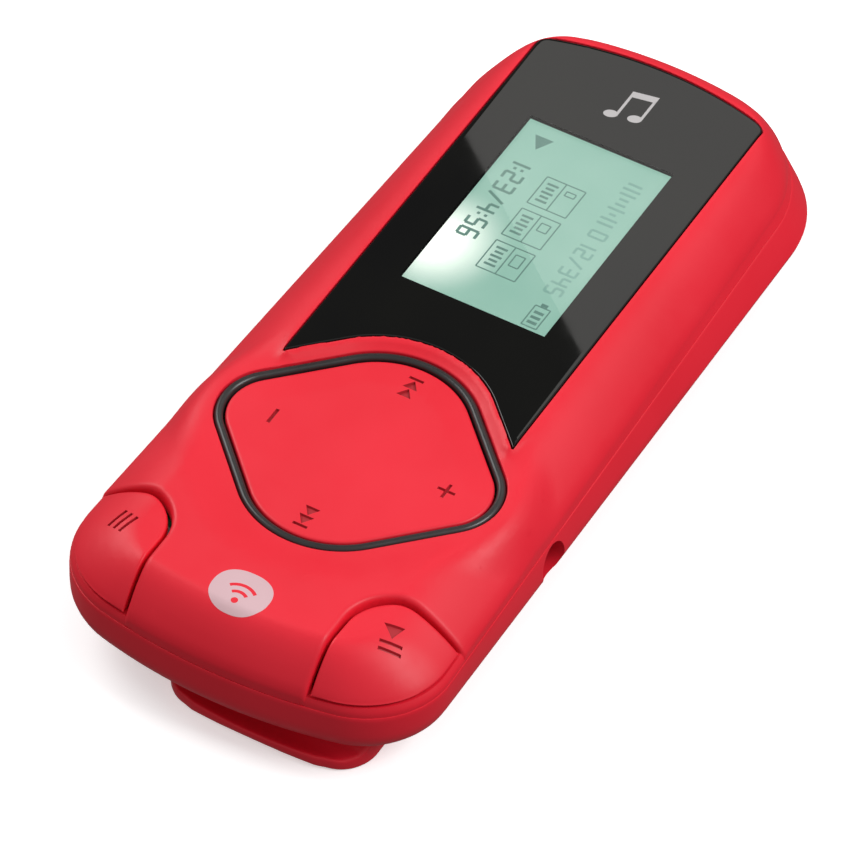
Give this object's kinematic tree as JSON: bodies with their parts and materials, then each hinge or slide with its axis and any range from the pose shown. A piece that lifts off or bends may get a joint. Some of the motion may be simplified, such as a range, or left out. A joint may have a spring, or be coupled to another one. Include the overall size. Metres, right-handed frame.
{
  "type": "digital audio player",
  "caption": "Pocket clip-on digital audio player: red two-part shell, smoked display window, rocker pad, corner buttons and a sprung belt clip.",
  "frame": {"origin": "under the middle of the case in plan, on the flat outer face of the belt clip", "axes": "+Z out of the display face, +Y towards the display end, +X towards the headphone socket side"},
  "size_m": [0.039, 0.0896, 0.014],
  "materials": {
    "red_plastic": "satin",
    "window_lens": "gloss",
    "black_gloss": "gloss",
    "black_plastic": "matte",
    "white_plastic": "matte",
    "black_foam": "matte",
    "lcd_glass": "gloss",
    "circuit_board": "satin",
    "chip_package": "matte",
    "steel": "satin",
    "battery_foil": "satin",
    "flex_film": "satin",
    "lead_red": "satin"
  },
  "bodies": {
    "housing": {"front_shell": "red_plastic", "rear_shell": "red_plastic", "display_window": "window_lens", "window_adhesive": "black_foam", "lcd_frame": "white_plastic", "lcd_glass": "lcd_glass", "lcd_backlight": "white_plastic", "lcd_flex": "flex_film", "pad_ring": "black_gloss", "pad_post": "steel", "main_board": "circuit_board", "previous_switch": "steel", "next_switch": "steel", "volume_up_switch": "steel", "volume_down_switch": "steel", "menu_switch": "steel", "play_switch": "steel", "processor_chip": "chip_package", "flash_chip": "chip_package", "power_chip": "chip_package", "power_inductor": "chip_package", "tantalum_capacitor": "chip_package", "chip_antenna": "chip_package", "radio_module": "steel", "crystal_oscillator": "steel", "headphone_jack": "black_plastic", "jack_contact": "steel", "usb_socket": "steel", "usb_tongue": "black_plastic", "battery_cell": "battery_foil", "battery_pad": "black_foam", "battery_protection_board": "circuit_board", "battery_lead_positive": "lead_red", "battery_lead_negative": "black_plastic", "case_screw_1": "steel", "case_screw_2": "steel", "case_screw_3": "steel", "case_screw_4": "steel", "clip_pin": "steel"},
    "pad_gimbal": {"pad_gimbal": "black_plastic"},
    "navigation_pad": {"navigation_pad": "red_plastic", "previous_plunger": "black_plastic", "next_plunger": "black_plastic", "volume_up_plunger": "black_plastic", "volume_down_plunger": "black_plastic"},
    "menu_button": {"menu_button": "red_plastic", "menu_plunger": "black_plastic"},
    "play_button": {"play_button": "red_plastic", "play_plunger": "black_plastic"},
    "belt_clip": {"belt_clip": "red_plastic", "clip_spring": "steel"}
  },
  "joints": [
    {"name": "pad_tilt_ends", "type": "hinge", "parent": "housing", "child": "pad_gimbal", "pos_m": [0, -0.0177, 0.0114], "axis": [1, 0, 0], "range_deg": [-1.6, 1.6], "stiffness_Nm_per_rad": 0.5},
    {"name": "pad_tilt_sides", "type": "hinge", "parent": "pad_gimbal", "child": "navigation_pad", "pos_m": [0, -0.0177, 0.0114], "axis": [0, 1, 0], "range_deg": [-1.6, 1.6], "stiffness_Nm_per_rad": 0.5},
    {"name": "menu_press", "type": "slide", "parent": "housing", "child": "menu_button", "axis": [0, 0, -1], "range_m": [0, 0.00028], "stiffness_N_per_m": 2000, "springref_m": -0.0001},
    {"name": "play_press", "type": "slide", "parent": "housing", "child": "play_button", "axis": [0, 0, -1], "range_m": [0, 0.00028], "stiffness_N_per_m": 2000, "springref_m": -0.0001},
    {"name": "clip_hinge", "type": "hinge", "parent": "housing", "child": "belt_clip", "pos_m": [0.0038, 0.017, 0.00165], "axis": [1, 0, 0], "range_deg": [0, 25], "stiffness_Nm_per_rad": 0.15, "springref_deg": -28.65}
  ]
}
